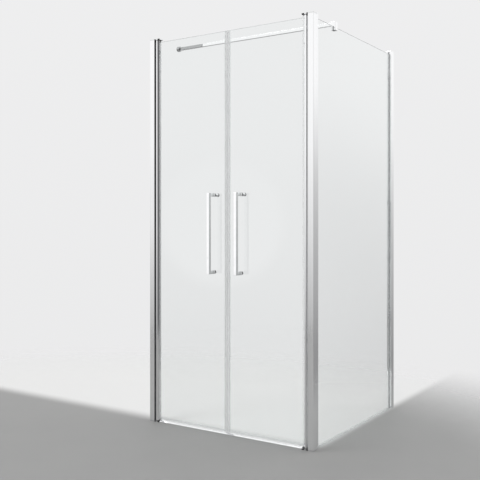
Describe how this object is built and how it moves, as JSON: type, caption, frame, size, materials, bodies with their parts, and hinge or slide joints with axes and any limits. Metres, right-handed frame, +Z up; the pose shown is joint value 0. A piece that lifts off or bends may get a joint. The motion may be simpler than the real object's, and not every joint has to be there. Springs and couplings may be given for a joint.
{
  "type": "pivot shower door with side panel",
  "caption": "Glass corner shower enclosure with paired pivot door leaves, square handles, a fixed side panel and a brace bar to the wall.",
  "frame": {"origin": "middle of the threshold rail's underside, on the line where the leaves meet and in the plane of their glass", "axes": "+X to the right seen from outside, +Y into the shower, +Z up"},
  "size_m": [0.965, 1.0045, 2.01],
  "materials": {
    "bright_profile": "polished to a chrome look, extruded",
    "plain_aluminium": "mill finish, hidden",
    "bearing_metal": "bright, lightly satin",
    "handle_chrome": "polished chrome",
    "steel": "stainless, turned",
    "shower_glass": "clear toughened, ground edges",
    "clear_strip": "clear extruded vinyl",
    "magnet_strip": "light grey magnetic rubber",
    "grey_seal": "soft dark seal",
    "dark_rubber": "matt rubber",
    "dark_plastic": "matt black moulding"
  },
  "bodies": {
    "frame": {"brace_bar": "handle_chrome", "brace_clamp_pad": "dark_rubber", "brace_fork": "bearing_metal", "brace_glass_clamp": "handle_chrome", "brace_grub_screws": "steel", "brace_joint_screw": "steel", "brace_rosette": "handle_chrome", "corner_screws": "steel", "glazing_profile_cap": "bright_profile", "jamb_clamp_screws": "steel", "left_bearing_cap": "bearing_metal", "left_bearing_foot": "bearing_metal", "left_bearing_screws": "steel", "left_gap_seal": "grey_seal", "left_jamb_profile": "bright_profile", "left_pivot_pins": "steel", "left_wall_channel": "plain_aluminium", "rear_jamb_cap": "bright_profile", "rear_jamb_profile": "bright_profile", "rear_wall_channel": "plain_aluminium", "right_bearing_cap": "bearing_metal", "right_bearing_foot": "bearing_metal", "right_bearing_screws": "steel", "right_gap_seal": "grey_seal", "right_jamb_profile": "bright_profile", "right_pivot_pins": "steel", "side_floor_strip": "clear_strip", "side_front_strip": "clear_strip", "side_glass": "shower_glass", "side_glazing_profile": "bright_profile", "side_rear_strip": "clear_strip", "threshold_rail": "bright_profile"},
    "left_leaf": {"left_drip_seal": "clear_strip", "left_edge_magnet": "magnet_strip", "left_edge_seal": "clear_strip", "left_handle_bar": "handle_chrome", "left_handle_posts": "handle_chrome", "left_handle_spacers": "dark_rubber", "left_handle_studs": "steel", "left_hinge_strip": "clear_strip", "left_hinge_tube": "bright_profile", "left_inner_cap": "handle_chrome", "left_inner_knob": "handle_chrome", "left_knob_ring": "dark_plastic", "left_leaf_glass": "shower_glass", "left_pivot_bushes": "dark_plastic"},
    "right_leaf": {"right_drip_seal": "clear_strip", "right_edge_magnet": "magnet_strip", "right_edge_seal": "clear_strip", "right_handle_bar": "handle_chrome", "right_handle_posts": "handle_chrome", "right_handle_spacers": "dark_rubber", "right_handle_studs": "steel", "right_hinge_strip": "clear_strip", "right_hinge_tube": "bright_profile", "right_inner_cap": "handle_chrome", "right_inner_knob": "handle_chrome", "right_knob_ring": "dark_plastic", "right_leaf_glass": "shower_glass", "right_pivot_bushes": "dark_plastic"}
  },
  "joints": [
    {"name": "left_leaf_hinge", "type": "hinge", "parent": "frame", "child": "left_leaf", "pos_m": [-0.4363, 0, 0], "axis": [0, 0, 1], "range_deg": [-88, 85]},
    {"name": "right_leaf_hinge", "type": "hinge", "parent": "frame", "child": "right_leaf", "pos_m": [0.4363, 0, 0], "axis": [0, 0, 1], "range_deg": [-85, 90]}
  ]
}
